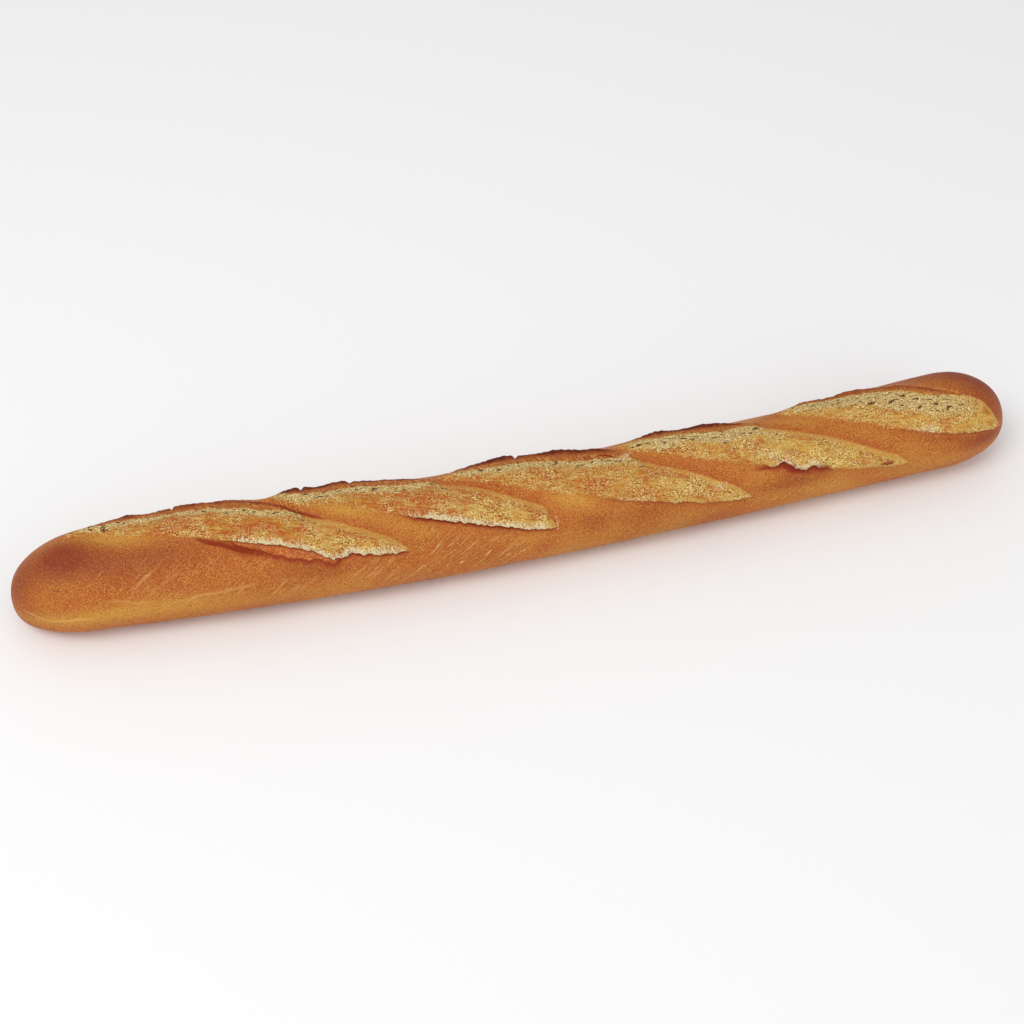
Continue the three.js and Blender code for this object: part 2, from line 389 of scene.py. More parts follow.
@dataclass(frozen=True)
class ReliefSizes:
    """Heights and reaches, in mm, of the relief that the scores share, and of the slow wave of the crust.

    A reach is the distance at which a bell has fallen to 1/e. The far sizes are of the crust that melts
    into the far half of a near edge.
    """

    lip_back: float = 8.0
    lip_front: float = 5.0
    lip_lean: float = 1.2
    lip_lean_reach: float = 3.0
    fold_dip: float = 0.5
    fold_reach: float = 4.0
    valley_depth: float = 0.9
    swell: float = 2.6
    frill_rise: float = 1.0
    frill_reach: float = 4.0
    frill_lean: float = 1.2
    frill_lean_reach: float = 2.0
    cleft_depth: float = 1.0
    cleft_reach: float = 1.8
    shade_reach: float = 7.0
    far_rise: float = 0.6
    far_reach: float = 4.0
    shelf_rise: float = 0.7
    shelf_cleft: float = 0.7
    shelf_cleft_reach: float = 3.2
    lip_wave_length: float = 31.0
    crust_wave: float = 0.45
    crust_wave_length: float = 83.0


@dataclass
class Skin:
    """The loaf's outer form on a grid: rings by rows, in millimetres, with its masks."""

    points: Array
    s: Array
    phi: Array
    masks: dict[Mask, Array]


class ScoreRelief:
    """One score laid over a grid of places, each u mm inside the far edge and w mm inside the near one.

    From the far edge inwards come the lip's crest, its brown face, a band of torn crumb and the bloom. At
    the near edge the far half melts into the crust, and the near half ends in a frill over a cleft, with a
    second torn shelf below it where the score has one.
    """

    def __init__(self, loaf: "Loaf", number: int, s: Array, phi: Array) -> None:
        """Works out where each place lies. What varies along the cut is a product of smooth steps of t.

        Args:
            loaf: the loaf that the score is cut in.
            number: the score's place in the row of scores.
            s: distances from the left tip, as a column.
            phi: angles round the loaf, as a row for each ring.
        """
        self.loaf, self.score, self.s = loaf, loaf.scores[number], s
        self.sizes, self.salt = loaf.relief, 10 * (number + 1)
        score, share = self.score, self.score.share(s)
        self.cut = (share > 0.0) & (share < 1.0)
        t = np.clip(share, 0.0, 1.0)
        self.t = t
        self.lip, self.bitten = loaf.lip_strength(score, s), score.bitten(s)
        self.lipped = 1.0 - ramp(t, score.lip_end - 0.02, score.lip_end + 0.03)
        self.opening = plateau(t, 0.0, 0.12, 0.93, 1.0)
        self.folded = (1.0 - self.lipped) * self.opening
        self.near_half = ramp(t, 0.42, 0.58)
        frill_from, frill_to = score.frill_from, score.frill_to
        self.frilled = score.frill * plateau(t, frill_from, frill_from + 0.16, frill_to - 0.1, frill_to)
        self.near = self.frilled * (1.0 - ramp(t, 0.95, 1.0))
        upper, lower = self.edges()
        self.u = (phi - upper) * loaf.mm_per_degree
        self.w = (lower - phi) * loaf.mm_per_degree
        self.width = np.maximum(self.u + self.w, 0.01)
        self.behind, self.before = self.u < 0.0, self.w <= 0.0
        self.within = (self.u > 0.0) & (self.w > 0.0)
        self.face, self.torn = self.bands()
        self.cleft, self.shade, self.shelf = self.undercut()

    def noise(self, size: float, salt: int) -> Array:
        """The loaf's noise along s, with a salt of this score's own."""
        return self.loaf.grain.along(self.s, size, self.salt + salt)

    def edges(self) -> tuple[Array, Array]:
        """Angles of both edges: the score's curves, and noise less the bites in mm over mm per degree."""
        closing = plateau(self.t, 0.0, 0.06, 0.96, 1.0)
        far = (0.5 * self.noise(8.0, 0) + 0.35 * self.noise(2.6, 1)) * (0.4 + 0.6 * self.lipped)
        near = 0.9 * self.noise(9.0, 2) + 0.4 * self.noise(2.4, 3)
        ragged = 1.7 * self.noise(7.0, 4) + 1.1 * self.noise(3.0, 5) + 0.8 * self.noise(1.5, 8)
        ragged = ragged * self.score.ragged * self.frilled
        upper = self.score.upper(self.t) + far * closing / self.loaf.mm_per_degree
        moved = (near + ragged) * closing - self.bitten
        return upper, self.score.lower(self.t) + moved / self.loaf.mm_per_degree

    def bands(self) -> tuple[Array, Array]:
        """Widths of the brown face and the torn crumb, at most 0.42 and half of the cut, with noise."""
        score, width = self.score, self.width
        narrowing = 1.0 - 0.7 * ramp(self.t, score.lip_end - 0.15, score.lip_end)
        wander = 1.2 * self.noise(6.0, 9) + 0.9 * self.noise(2.2, 6)
        face = np.minimum(score.face * narrowing, 0.42 * width) + wander * ramp(width, 4.0, 14.0)
        return face, np.minimum(score.torn * (1.0 + 0.3 * self.noise(11.0, 7)), 0.5 * width)

    def undercut(self) -> tuple[Array, Array, Array]:
        """Depth of the cleft under the near edge, also the strength of its painted shade, the painted shade
        of the crust round it, and the second torn shelf.

        The cleft is a bell of w, wider in a bite. The shelf reaches its drop times sin(pi share)^0.7 past
        the near edge, for the share of its length at s, and has a cleft of its own past that.
        """
        score, sizes = self.score, self.sizes
        reach = sizes.cleft_reach + score.ragged + 0.7 * np.maximum(self.bitten, 0.0)
        cleft = sizes.cleft_depth * self.near * bell(self.w, reach)
        shade = (0.3 * self.near_half + 0.7 * self.near) * bell(self.w, sizes.shade_reach)
        if score.shelf_to <= score.shelf_from:
            return cleft, shade, np.zeros_like(cleft)
        share = np.clip((self.s - score.shelf_from) / (score.shelf_to - score.shelf_from), 0, 1)
        along = np.sin(np.pi * share)
        ragged = 1.0 * self.noise(6.0, 16) + 0.8 * self.noise(2.2, 17)
        drop = score.shelf_drop * along ** 0.7 + ragged * ramp(along, 0.05, 0.3)
        past = -self.w - np.maximum(drop, 0.0)
        present, beyond = ramp(along, 0.02, 0.15), past > 0.0
        shelf = np.where(self.before, 1.0 - ramp(past, -1.2, 0.8), 0.0) * present
        own = sizes.shelf_cleft * np.where(beyond, bell(past, sizes.shelf_cleft_reach), 0.0) * present
        shade = np.maximum(shade, np.where(beyond, bell(past, sizes.shade_reach), 0.0) * present)
        return cleft * (1.0 - 0.6 * shelf) + own, shade, shelf

    def form(self) -> tuple[Array, Array]:
        """How far the score raises the crust and leans it forward, in mm.

        The lip falls off as e to minus (u/8)^1.3 behind its crest and e to minus (u/5)^1.5 before it, and
        past its end the crust dips at the edge. The torn band is a shallow valley, the bloom swells as
        sin(pi v^1.3) for the share v across, and the cleft is taken off outside the near edge.
        """
        t, u, w, sizes = self.t, self.u, self.w, self.sizes
        back, front = np.abs(u) / sizes.lip_back, np.abs(u) / sizes.lip_front
        side = np.where(self.behind, back ** 1.3, front ** 1.5)
        raised = self.score.lip * self.lip * np.exp(-side)
        raised -= sizes.fold_dip * self.folded * bell(u, sizes.fold_reach)
        across = np.clip(u / self.width, 0.0, 1.0)
        swell = sizes.swell * self.opening * np.sin(np.pi * across ** 1.3)
        valley = sizes.valley_depth * self.lipped * ramp(t, 0.05, 0.25)
        valley = valley * bell(u - self.face - self.torn / 2.0, 0.5 * self.torn + 0.5)
        frill = sizes.frill_rise * self.opening * self.frilled * bell(w, sizes.frill_reach)
        raised += np.where(self.within, swell - valley + frill, 0.0)
        raised += self.shelf * sizes.shelf_rise * ramp(-w, 0.3, 1.6)
        far = plateau(t, 0.02, 0.15, 0.38, 0.52)
        raised += sizes.far_rise * far * bell(w, sizes.far_reach) - np.where(self.before, self.cleft, 0.0)
        leaned = sizes.lip_lean * self.lip * bell(u, sizes.lip_lean_reach)
        leaned += np.where(self.within, sizes.frill_lean * self.near * bell(w, sizes.frill_lean_reach), 0.0)
        return np.where(self.cut, raised, 0.0), np.where(self.cut, leaned, 0.0)

    def masks(self) -> dict[Mask, Array]:
        """What each place is made of, and where shade is painted in and round the cleft, 0 to 1, as products
        of smooth steps of u, w and t.
        """
        score, t, u, w = self.score, self.t, self.u, self.w
        soft, soft_far = 0.5 + 2.6 * (1.0 - self.frilled), 0.5 + 1.6 * self.folded
        edge = self.near_half * bell(w, 6.0) * 0.4 * self.frilled - 0.5 * (1.0 - self.frilled) * bell(w, 3.5)
        ripe = score.ripeness + 0.6 * ramp(t, score.lip_end - 0.1, score.lip_end + 0.2) + edge
        charred = score.char * (1.0 + 0.3 * self.noise(9.0, 11) + 0.3 * self.noise(2.5, 12))
        crest = plateau(u, -2.0, -0.4, 0.2 + 0.8 * self.lip, 1.5 + 6.5 * self.lip)
        crest = crest * plateau(t, 0.02, 0.12, score.lip_end - 0.1, score.lip_end)
        face = ramp(u, -5.0, -0.5) * (1.0 - ramp(u - self.face, -1.4, 1.4)) * self.lipped
        torn = ramp(u - self.face, -1.5, 1.5) * (1.0 - ramp(u - self.face - self.torn, -4.0, 3.0))
        torn = torn * (1.0 - ramp(t, score.lip_end - 0.1, score.lip_end + 0.12)) * ramp(w, 0.0, 2.0)
        found = {
            Mask.BLOOM: ramp(u, -soft_far, soft_far) * ramp(w, -soft, soft) * self.opening ** 0.3,
            Mask.RIPE: np.where(self.within, np.clip(ripe, 0.0, 1.0), 0.0),
            Mask.CREST: crest * charred,
            Mask.FACE: face * ramp(t, 0.04, 0.16) * (0.6 + 0.4 * score.char),
            Mask.TORN: torn * ramp(t, 0.03, 0.12),
            Mask.FRILL: np.where(self.within, self.frilled * self.opening * (1.0 - ramp(w, 0.4, 4.5)), 0.0),
            # painted shade in the cleft under the near edge
            Mask.CLEFT_SHADE: np.where(self.before, np.minimum(self.cleft, 1.0), 0.0),
            # painted shade round the cleft, and in the crust's fold above the rim
            Mask.SHADE: np.where(self.behind, self.folded * bell(u + 1.5, 5.0), self.before * self.shade),
            Mask.RIM: self.folded * plateau(u, -2.2, 0.6, 1.6, 4.2) * ramp(w, 0.0, 2.0),
            Mask.SHELF: self.shelf,
            Mask.TOAST: np.where(self.within, 0.9 * self.folded * bell(u - 4.8, 1.5), 0.0),
        }
        return {mask: np.where(self.cut, values, 0.0) for mask, values in found.items()}


@dataclass
class Loaf:
    """The baguette: its body, its scores and the fineness of its skin. Lengths are in millimetres.

    Attributes:
        length: from tip to tip.
        half_widths, heights: at evenly spaced places from the left tip to the right one.
        waist, flattening: height of the widest line as a share, and how much of the round is cut off below.
        sideways_bow: how far the middle swings towards the viewer.
        ends, scores: the two ends, and the cuts from left to right.
        notches: place and width of each narrow notch in the lips.
        middle_y: where the middle of the CAD model lies across the loaf.
        rings, rows, dense_angles: rings along the skin, points round a ring, and angles tried for them.
        length_samples, end_crowding: steps that space the rings, which lie this much closer at the ends.
        underside_saving: share by which the underside has fewer rows than the crust above.
        grain, relief, marks: the noise, the shared sizes of the relief and the placed markings.
    """

    length: float = 600.0
    half_widths: tuple[float, ...] = (27.0, 30.4, 30.7, 29.4, 28.3, 28.5, 31.2)
    heights: tuple[float, ...] = (47.0, 55.8, 54.0, 51.2, 49.2, 49.6, 54.6)
    waist: float = 0.45
    flattening: float = 3.5
    sideways_bow: float = 12.4
    ends: dict[End, LoafEnd] = field(default_factory=lambda: {
        End.LEFT: LoafEnd(40.0, 2.15, 2.25, 3.4, 0.12),
        End.RIGHT: LoafEnd(45.0, 2.2, 1.95, 3.1, 0.12),
    })
    scores: tuple[Score, ...] = (
        Score(start=28, end=224, far_angle=-26, near_angle=62, turn=0.57, sweep=1.2,
              lip=3.0, lip_rise=0.2, lip_fall=0.4, lip_end=0.7, blunt=5, blunt_from=0.94,
              face=8.0, torn=6.0, char=0.7,
              shelf_from=124, shelf_to=184, shelf_drop=6.5, bites=((179, -4.2, 9.0),)),
        Score(start=140, end=308, far_angle=-26, near_angle=66, turn=0.58, sweep=1.1,
              lip=4.2, lip_rise=0.14, lip_fall=0.2, lip_end=0.62, blunt=20, blunt_from=0.95,
              face=9.5, torn=7.0),
        Score(start=240, end=427, far_angle=-26, near_angle=80, turn=0.53, sweep=1.38,
              lip=4.0, lip_rise=0.2, lip_fall=0.5, lip_end=0.64, blunt=6, blunt_from=0.94,
              face=10.5, torn=7.0, char=1.0, ripeness=0.2,
              frill=0.35),
        Score(start=345, end=528, far_angle=-26, near_angle=84, turn=0.45, sweep=1.45,
              lip=3.4, lip_rise=0.2, lip_fall=0.38, lip_end=0.52, blunt=4, blunt_from=0.94,
              face=9.0, torn=12.0, char=1.0, ripeness=0.7,
              frill_to=0.74, ragged=1.1, bites=((447, 3.8, 4.0), (465, 4.2, 4.5), (456, 1.0, 1.5))),
        Score(start=450, end=593, far_angle=-30, near_angle=70, turn=0.5, sweep=1.6,
              lip=3.0, lip_rise=0.2, lip_fall=0.4, lip_end=0.8, blunt=26, blunt_from=0.88,
              face=5.5, torn=18.0, char=0.6, ripeness=0.8,
              frill=0.35, hook=0.0),
    )
    notches: tuple[tuple[float, float], ...] = ((197, 1.5), (294, 1.3), (254, 0.9), (169, 0.8), (96, 0.9))
    middle_y: float = -7.463
    rings: int = 606
    rows: int = 164
    dense_angles: int = 720
    length_samples: int = 24001
    end_crowding: float = 1.25
    underside_saving: float = 0.6
    grain: Roughness = Roughness()
    relief: ReliefSizes = ReliefSizes()
    marks: Markings = Markings()

    @property
    def mm_per_degree(self) -> float:
        """Length of one degree of the middle half width, as an arc."""
        return math.radians(self.half_widths[3])

    def through(self, values: tuple[float, ...], s: Array) -> Array:
        """Value at s of a smooth cubic through evenly spaced values, straight past both tips."""
        known = np.array(values)
        known = np.concatenate([[2 * known[0] - known[1]], known, [2 * known[-1] - known[-2]]])
        place = np.clip(s / self.length, 0.0, 1.0) * (len(values) - 1)
        index = np.minimum(np.floor(place).astype(int), len(values) - 2)
        t = place - index
        a, b, c, d = (known[index + k] for k in range(4))
        bend = (2 * a - 5 * b + 4 * c - d) * t ** 2 + (3 * b - a - 3 * c + d) * t ** 3
        return 0.5 * (2 * b + (c - a) * t + bend)

    def section(self, s: Array) -> dict[str, Array]:
        """The plain ring at s: half width, middle height, rise above it, fall below it, fullness and bow."""
        left_end, right_end = self.ends[End.LEFT], self.ends[End.RIGHT]
        left = np.clip(1.0 - s / left_end.length, 0.0, 1.0) ** 2
        right = np.clip((s - self.length + right_end.length) / right_end.length, 0.0, 1.0) ** 2

        def rounded(left_power: float, right_power: float) -> Array:
            """Share left of a size near the ends: (1 - share squared) to one over the power, for both."""
            return (1.0 - left) ** (1.0 / left_power) * (1.0 - right) ** (1.0 / right_power)

        body, height = self.through(self.half_widths, s), self.through(self.heights, s)
        middle = height * (self.waist - left_end.droop * left - right_end.droop * right)
        side = rounded(left_end.side, right_end.side)
        return {
            "half_width": body * side,
            "middle": middle,
            "rise": (height - middle) * rounded(left_end.upper, right_end.upper),
            "fall": (middle + self.flattening) * rounded(left_end.lower, right_end.lower),
            "fullness": side,
            "bow": -self.sideways_bow * np.sin(np.pi * s / self.length),
        }

    def lip_strength(self, score: Score, s: Array) -> Array:
        """How strongly a lip stands at s: its own ends, a slow wave, ragged noise and narrow notches."""
        t = score.share(s)
        strength = plateau(t, 0.0, score.lip_rise, score.lip_fall, score.lip_end + 0.02)
        strength = strength * (1.0 + 0.16 * np.sin(2.0 * np.pi * s / self.relief.lip_wave_length))
        ragged = 0.09 * self.grain.along(s, 5.0, 1) + 0.08 * self.grain.along(s, 2.0, 2)
        strength = strength * (1.0 + ragged)
        for place, width in self.notches:
            strength = strength * (1.0 - 0.5 * bell(s - place, width))
        return strength

    def dense(self, s: Array, phi: Array) -> dict[str, Array]:
        """Ring points and masks at every pair of s and phi.

        y = bow - half width * sin(phi) and z = middle + reach * cos(phi), where reach is the rise above the
        middle and the fall below it. The point then moves out along the ring's normal by the relief's raise
        and forward along its tangent by the lean, both fading towards the tips. The lowest z is 0.

        Args:
            s: distances from the left tip, as a column.
            phi: angles round the loaf, as a row.

        Returns:
            Arrays y, z, phi and one for each mask, all rings by angles.
        """
        ring = self.section(s)
        across, upwards = np.sin(np.radians(phi)), np.cos(np.radians(phi))
        reach = np.where(upwards > 0.0, ring["rise"], ring["fall"])
        normal_y = -across / np.maximum(ring["half_width"], 1e-6)
        normal_z = upwards / np.maximum(reach, 1e-6)
        size = np.hypot(normal_y, normal_z)
        normal_y, normal_z = normal_y / size, normal_z / size
        turns = 3.0 * np.radians(phi)
        wave = np.sin(2.0 * np.pi * s / self.relief.crust_wave_length + 1.7 * np.sin(turns))
        raised = self.relief.crust_wave * wave * (1.0 - ramp(np.abs(phi), 90.0, 130.0))
        leaned = np.zeros_like(raised)
        masks = {mask: np.zeros_like(raised) for mask in Mask}
        for number in range(len(self.scores)):
            cut = ScoreRelief(self, number, s, phi)
            up, forward = cut.form()
            raised += up
            leaned += forward
            for mask, values in cut.masks().items():
                masks[mask] = np.maximum(masks[mask], values)
        for spot in self.marks.pale:
            masks[Mask.FRILL] = np.maximum(masks[Mask.FRILL], spot.over(s, phi))
        wander = 1.4 * self.grain.along(s, 9.0, 61) + 0.5 * self.grain.along(s, 3.0, 62)
        for crease in self.marks.creases:
            folded = crease.over(s, phi, self.mm_per_degree, wander)
            raised -= crease.depth * folded
            # a fold's darkness paints shade into it, a ridge's paleness paints it pale
            masks[Mask.CLEFT_SHADE] = np.maximum(masks[Mask.CLEFT_SHADE], crease.darkness * folded)
            masks[Mask.RIDGE] = np.maximum(masks[Mask.RIDGE], crease.paleness * folded)
        fade = ramp(ring["fullness"], 0.3, 0.8)
        raised, leaned = raised * fade, leaned * fade
        y = ring["bow"] - ring["half_width"] * across + raised * normal_y - leaned * normal_z
        z = ring["middle"] + reach * upwards + raised * normal_z + leaned * normal_y
        found = {"y": y, "z": np.maximum(z, 0.0), "phi": phi + 0.0 * s}
        return {**found, **{mask.value: values for mask, values in masks.items()}}

    def ring_places(self) -> Array:
        """Distances from the left tip for the rings, evenly spaced along the side line of the crust."""
        samples = np.linspace(0.0, self.length, self.length_samples)
        half_width = self.section(samples)["half_width"]
        run = np.hypot(np.diff(samples), np.diff(half_width))
        middle = (samples[1:] + samples[:-1]) / 2.0
        left, right = self.ends[End.LEFT].length, self.length - self.ends[End.RIGHT].length
        run = run * np.where((middle < left) | (middle > right), self.end_crowding, 1.0)
        travelled = np.concatenate([[0.0], np.cumsum(run)])
        wanted = travelled[-1] * np.arange(1, self.rings + 1) / (self.rings + 1)
        return np.interp(wanted, travelled, samples)

    def skin(self) -> Skin:
        """The grid of rings and rows, each ring's rows evenly spaced along its crust.

        Every ring is worked out at many angles, its length run up with the underside counted at less than
        half, and its rows are read off at equal steps of that length. One interpolation serves all rings,
        because each ring's run, from 0 to 1, is moved up by twice its number.
        """
        s = self.ring_places()[:, None]
        angles = np.linspace(-180.0, 180.0, self.dense_angles + 1)[None, :]
        dense = self.dense(s, angles)
        run = np.hypot(np.diff(dense["y"], axis=1), np.diff(dense["z"], axis=1)) + 1e-9
        weight = 1.0 - self.underside_saving * ramp(np.abs(angles[:, 1:]), 95.0, 125.0)
        travelled = np.concatenate([np.zeros_like(s), np.cumsum(run * weight, axis=1)], axis=1)
        travelled = travelled / travelled[:, -1:]
        lift = 2.0 * np.arange(self.rings)[:, None]
        wanted = (np.arange(self.rows)[None, :] / self.rows + lift).ravel()
        known = (travelled + lift).ravel()
        shape = (self.rings, self.rows)
        read = {name: np.interp(wanted, known, a.ravel()).reshape(shape) for name, a in dense.items()}
        along = np.broadcast_to(s, shape)
        points = np.stack([along - self.length / 2.0, read["y"], read["z"]], axis=-1)
        masks = {mask: read[mask.value] for mask in Mask}
        return Skin(points, along, read["phi"], masks)

    def roughened(self, skin: Skin) -> Skin:
        """The skin with its small relief: each point moves along its normal by noise that its masks choose.

        The crust gets slow lumps, the bloom lumps and grain drawn out along the score, the torn crumb a
        coarse tear, and the frill a fine one. Nothing moves on the flat of the underside.
        """
        points = skin.points
        ahead = np.roll(points, -1, axis=1) - np.roll(points, 1, axis=1)
        along = np.gradient(points, axis=0)
        normals = np.cross(ahead, along)
        normals /= np.maximum(np.linalg.norm(normals, axis=-1, keepdims=True), 1e-9)
        grain = self.grain
        bloom, torn = skin.masks[Mask.BLOOM], skin.masks[Mask.TORN]
        frill, face = skin.masks[Mask.FRILL], skin.masks[Mask.FACE]
        drawn = points * np.array([0.45, 1.0, 1.0])
        crust = 0.35 * grain.at(points, 26.0, 30) + 0.12 * grain.at(points, 8.0, 31)
        grainy = 0.6 * grain.at(drawn, 6.0, 32) + 0.4 * grain.at(drawn, 2.6, 33)
        grainy += 0.3 * grain.at(points, 1.5, 34)
        tear = 0.6 * grain.at(drawn, 3.2, 35) + 0.4 * grain.at(points, 1.6, 36)
        plucked = 0.45 * grain.at(points * np.array([1.0, 0.5, 0.5]), 2.4, 38)
        bloom = np.maximum(bloom, 0.8 * skin.masks[Mask.SHELF])
        amount = crust * (1.0 - 0.7 * bloom) + bloom * (1.0 - face) * (grainy * (1.0 - torn) + torn * tear)
        amount += frill * 0.6 * grain.at(points, 2.0, 37) + face * plucked
        amount *= ramp(points[..., 2], 1.0, 8.0) * ramp(self.section(skin.s)["fullness"], 0.1, 0.5)
        moved = points + normals * amount[..., None]
        moved[..., 2] = np.maximum(moved[..., 2], 0.0)
        return Skin(moved, skin.s, skin.phi, skin.masks)

    def coloured(self, skin: Skin) -> Skin:
        """The skin with the slow masks that only its colour uses: each adds its spots, held in 0 to 1."""
        s, phi, marks = skin.s, skin.phi, self.marks
        masks = dict(skin.masks)
        masks[Mask.BROWNING] = 0.4 * ramp(-phi, 40.0, 62.0)
        # the gold spots are partly painted highlights
        patched = {Mask.BROWNING: marks.browned, Mask.GOLD_AND_HIGHLIGHT: marks.golden_and_highlights, Mask.TOAST: marks.toasted,
                   Mask.WRINKLES: marks.wrinkled}
        for mask, spots in patched.items():
            masks[mask] = np.clip(masks[mask] + sum(spot.over(s, phi) for spot in spots), 0.0, 1.0)
        return Skin(skin.points, s, phi, masks)

    def build(self) -> bpy.types.Object:
        """The finished loaf as a mesh object, with its masks, its two maps and its crust."""
        skin = self.coloured(self.roughened(self.skin()))
        piece = SkinMesh(skin, self).build("loaf_crust")
        piece.data.materials.append(CrustFinish().build())
        return piece


@dataclass
class SkinMesh:
    """Turns a grid of rings and rows into a closed mesh with its maps and attributes."""

    skin: Skin
    loaf: Loaf
    margin: float = 0.004

    def faces(self) -> tuple[Array, Array]:
        """Corner indices of the quads between neighbouring rings, and of the fans over both tips."""
        rings, rows = self.skin.s.shape
        here = np.arange((rings - 1) * rows).reshape(rings - 1, rows)
        beside = np.roll(here, -1, axis=1)
        quads = np.stack([here, beside, beside + rows, here + rows], axis=-1).reshape(-1, 4)
        first = np.arange(rows)
        last = first + (rings - 1) * rows
        left_tip, right_tip = rings * rows, rings * rows + 1
        left = np.stack([np.full(rows, left_tip), np.roll(first, -1), first], axis=-1)
        right = np.stack([np.full(rows, right_tip), last, np.roll(last, -1)], axis=-1)
        return quads, np.concatenate([left, right])

    def tips(self) -> Array:
        """The two tip points, at half the length either side, on the middle line of the loaf."""
        s = np.array([0.0, self.loaf.length])
        ring = self.loaf.section(s)
        return np.stack([s - self.loaf.length / 2.0, ring["bow"], ring["middle"]], axis=-1)

    def strips(self) -> Array:
        """Bake map: the left half of the loaf fills the lower strip and the right half the upper one.

        Across a strip runs the ring's place in its half, and up it the row's share of the way round.

        Returns:
            Two map values for every face corner, the quads first and then both fans.
        """
        rings, rows = self.skin.s.shape
        s = self.skin.s[:, 0]
        half = rings // 2
        cut = s[half]
        face_ring = np.repeat(np.arange(rings - 1), rows)
        face_row = np.tile(np.arange(rows), rings - 1)
        right = face_ring >= half
        corner_ring = face_ring[:, None] + np.array([0, 0, 1, 1])
        corner_row = face_row[:, None] + np.array([0, 1, 1, 0])
        place = s[corner_ring]
        along = np.where(right[:, None], (place - cut) / (self.loaf.length - cut), place / cut)
        up = corner_row / rows
        quad_map = self.placed(along, up, right[:, None])
        row = np.arange(rows)
        left_fan = self.placed(
            np.stack([0.0 * row, 0.0 * row + s[0] / cut, 0.0 * row + s[0] / cut], axis=-1),
            np.stack([row + 0.5, row + 1.0, row], axis=-1) / rows, np.zeros((rows, 1), bool))
        edge = (s[-1] - cut) / (self.loaf.length - cut)
        right_fan = self.placed(
            np.stack([0.0 * row + 1.0, 0.0 * row + edge, 0.0 * row + edge], axis=-1),
            np.stack([row + 0.5, row, row + 1.0], axis=-1) / rows, np.ones((rows, 1), bool))
        return np.concatenate([m.reshape(-1, 2) for m in (quad_map, left_fan, right_fan)])

    def placed(self, along: Array, up: Array, upper_strip: Array) -> Array:
        """Moves shares of a strip into the map: margins all round, the upper strip half a map higher."""
        u = self.margin + along * (1.0 - 2.0 * self.margin)
        v = self.margin + up * (0.5 - 2.0 * self.margin) + 0.5 * upper_strip
        return np.stack([u, v], axis=-1)

    def plan(self, corners: Array) -> Array:
        """Crust map: s and the arc round the loaf, both in decimetres, for patterns that follow the crust."""
        around = self.skin.phi * self.loaf.mm_per_degree
        flat = np.stack([self.skin.s.ravel(), around.ravel()], axis=-1)
        flat = np.concatenate([flat, [[0.0, 0.0], [self.loaf.length, 0.0]]])
        return flat[corners] / 100.0

    def build(self, name: str) -> bpy.types.Object:
        """The mesh object, smooth shaded, in metres in the CAD model's frame.

        Args:
            name: the piece's name.

        Returns:
            The new object, linked to the scene.
        """
        quads, fans = self.faces()
        points = np.concatenate([self.skin.points.reshape(-1, 3), self.tips()])
        points = (points - np.array([0.0, self.loaf.middle_y, 0.0])) * METRES
        corners = np.concatenate([quads.ravel(), fans.ravel()]).astype(np.int32)
        sizes = np.concatenate([np.full(len(quads), 4), np.full(len(fans), 3)])
        starts = np.concatenate([[0], np.cumsum(sizes)[:-1]]).astype(np.int32)
        mesh = bpy.data.meshes.new(name)
        mesh.vertices.add(len(points))
        mesh.vertices.foreach_set("co", points.ravel())
        mesh.loops.add(len(corners))
        mesh.loops.foreach_set("vertex_index", corners)
        mesh.polygons.add(len(sizes))
        mesh.polygons.foreach_set("loop_start", starts)
        mesh.polygons.foreach_set("use_smooth", np.ones(len(sizes), bool))
        bake = mesh.uv_layers.new(name="OFBake")
        bake.data.foreach_set("uv", self.strips().ravel())
        plan = mesh.uv_layers.new(name="CrustPlan")
        plan.data.foreach_set("uv", self.plan(corners).ravel())
        for mask, values in self.skin.masks.items():
            attribute = mesh.attributes.new(mask.value, "FLOAT", "POINT")
            attribute.data.foreach_set("value", np.concatenate([values.ravel(), [0.0, 0.0]]))
        mesh.update()
        mesh.validate()
        piece = bpy.data.objects.new(name, mesh)
        bpy.context.scene.collection.objects.link(piece)
        return piece


class Value:
    """A number that varies over the surface, on which arithmetic adds shader nodes."""

    def __init__(self, shader: "Shader", socket: bpy.types.NodeSocket) -> None:
        """Keeps the shader that owns the socket, and the socket."""
        self.shader = shader
        self.socket = socket

    def combine(self, operation: str, *others: Input) -> "Value":
        """A Math node of that operation on this value and the others."""
        node = self.shader.add("ShaderNodeMath", {"operation": operation}, dict(enumerate((self, *others))))
        return Value(self.shader, node.outputs[0])

    def __add__(self, other: Input) -> "Value":
        """self + other."""
        return self.combine("ADD", other)

    __radd__ = __add__

    def __mul__(self, other: Input) -> "Value":
        """self * other."""
        return self.combine("MULTIPLY", other)

    __rmul__ = __mul__

    def __sub__(self, other: Input) -> "Value":
        """self - other."""
        return self.combine("SUBTRACT", other)

    def __rsub__(self, other: float) -> "Value":
        """other - self, as self * -1 + other."""
        return self.combine("MULTIPLY_ADD", -1.0, other)

    def held(self) -> "Value":
        """The value held between 0 and 1."""
        return self.ramped(0.0, 1.0, Step.EVEN)

    def above(self, level: float, gain: float) -> "Value":
        """How far the value lies above a level, times a gain, held between 0 and 1."""
        return ((self - level) * gain).held()

    def below(self, level: float, gain: float) -> "Value":
        """How far the value lies below a level, times a gain, held between 0 and 1."""
        return ((level - self) * gain).held()

    def ramped(self, low: float, high: float, step: Step = Step.SMOOTH) -> "Value":
        """0 below low, 1 above high, and the given step between them."""
        settings = {"interpolation_type": step.value, "clamp": True}
        inputs = {"Value": self, "From Min": low, "From Max": high}
        return Value(self.shader, self.shader.add("ShaderNodeMapRange", settings, inputs).outputs["Result"])


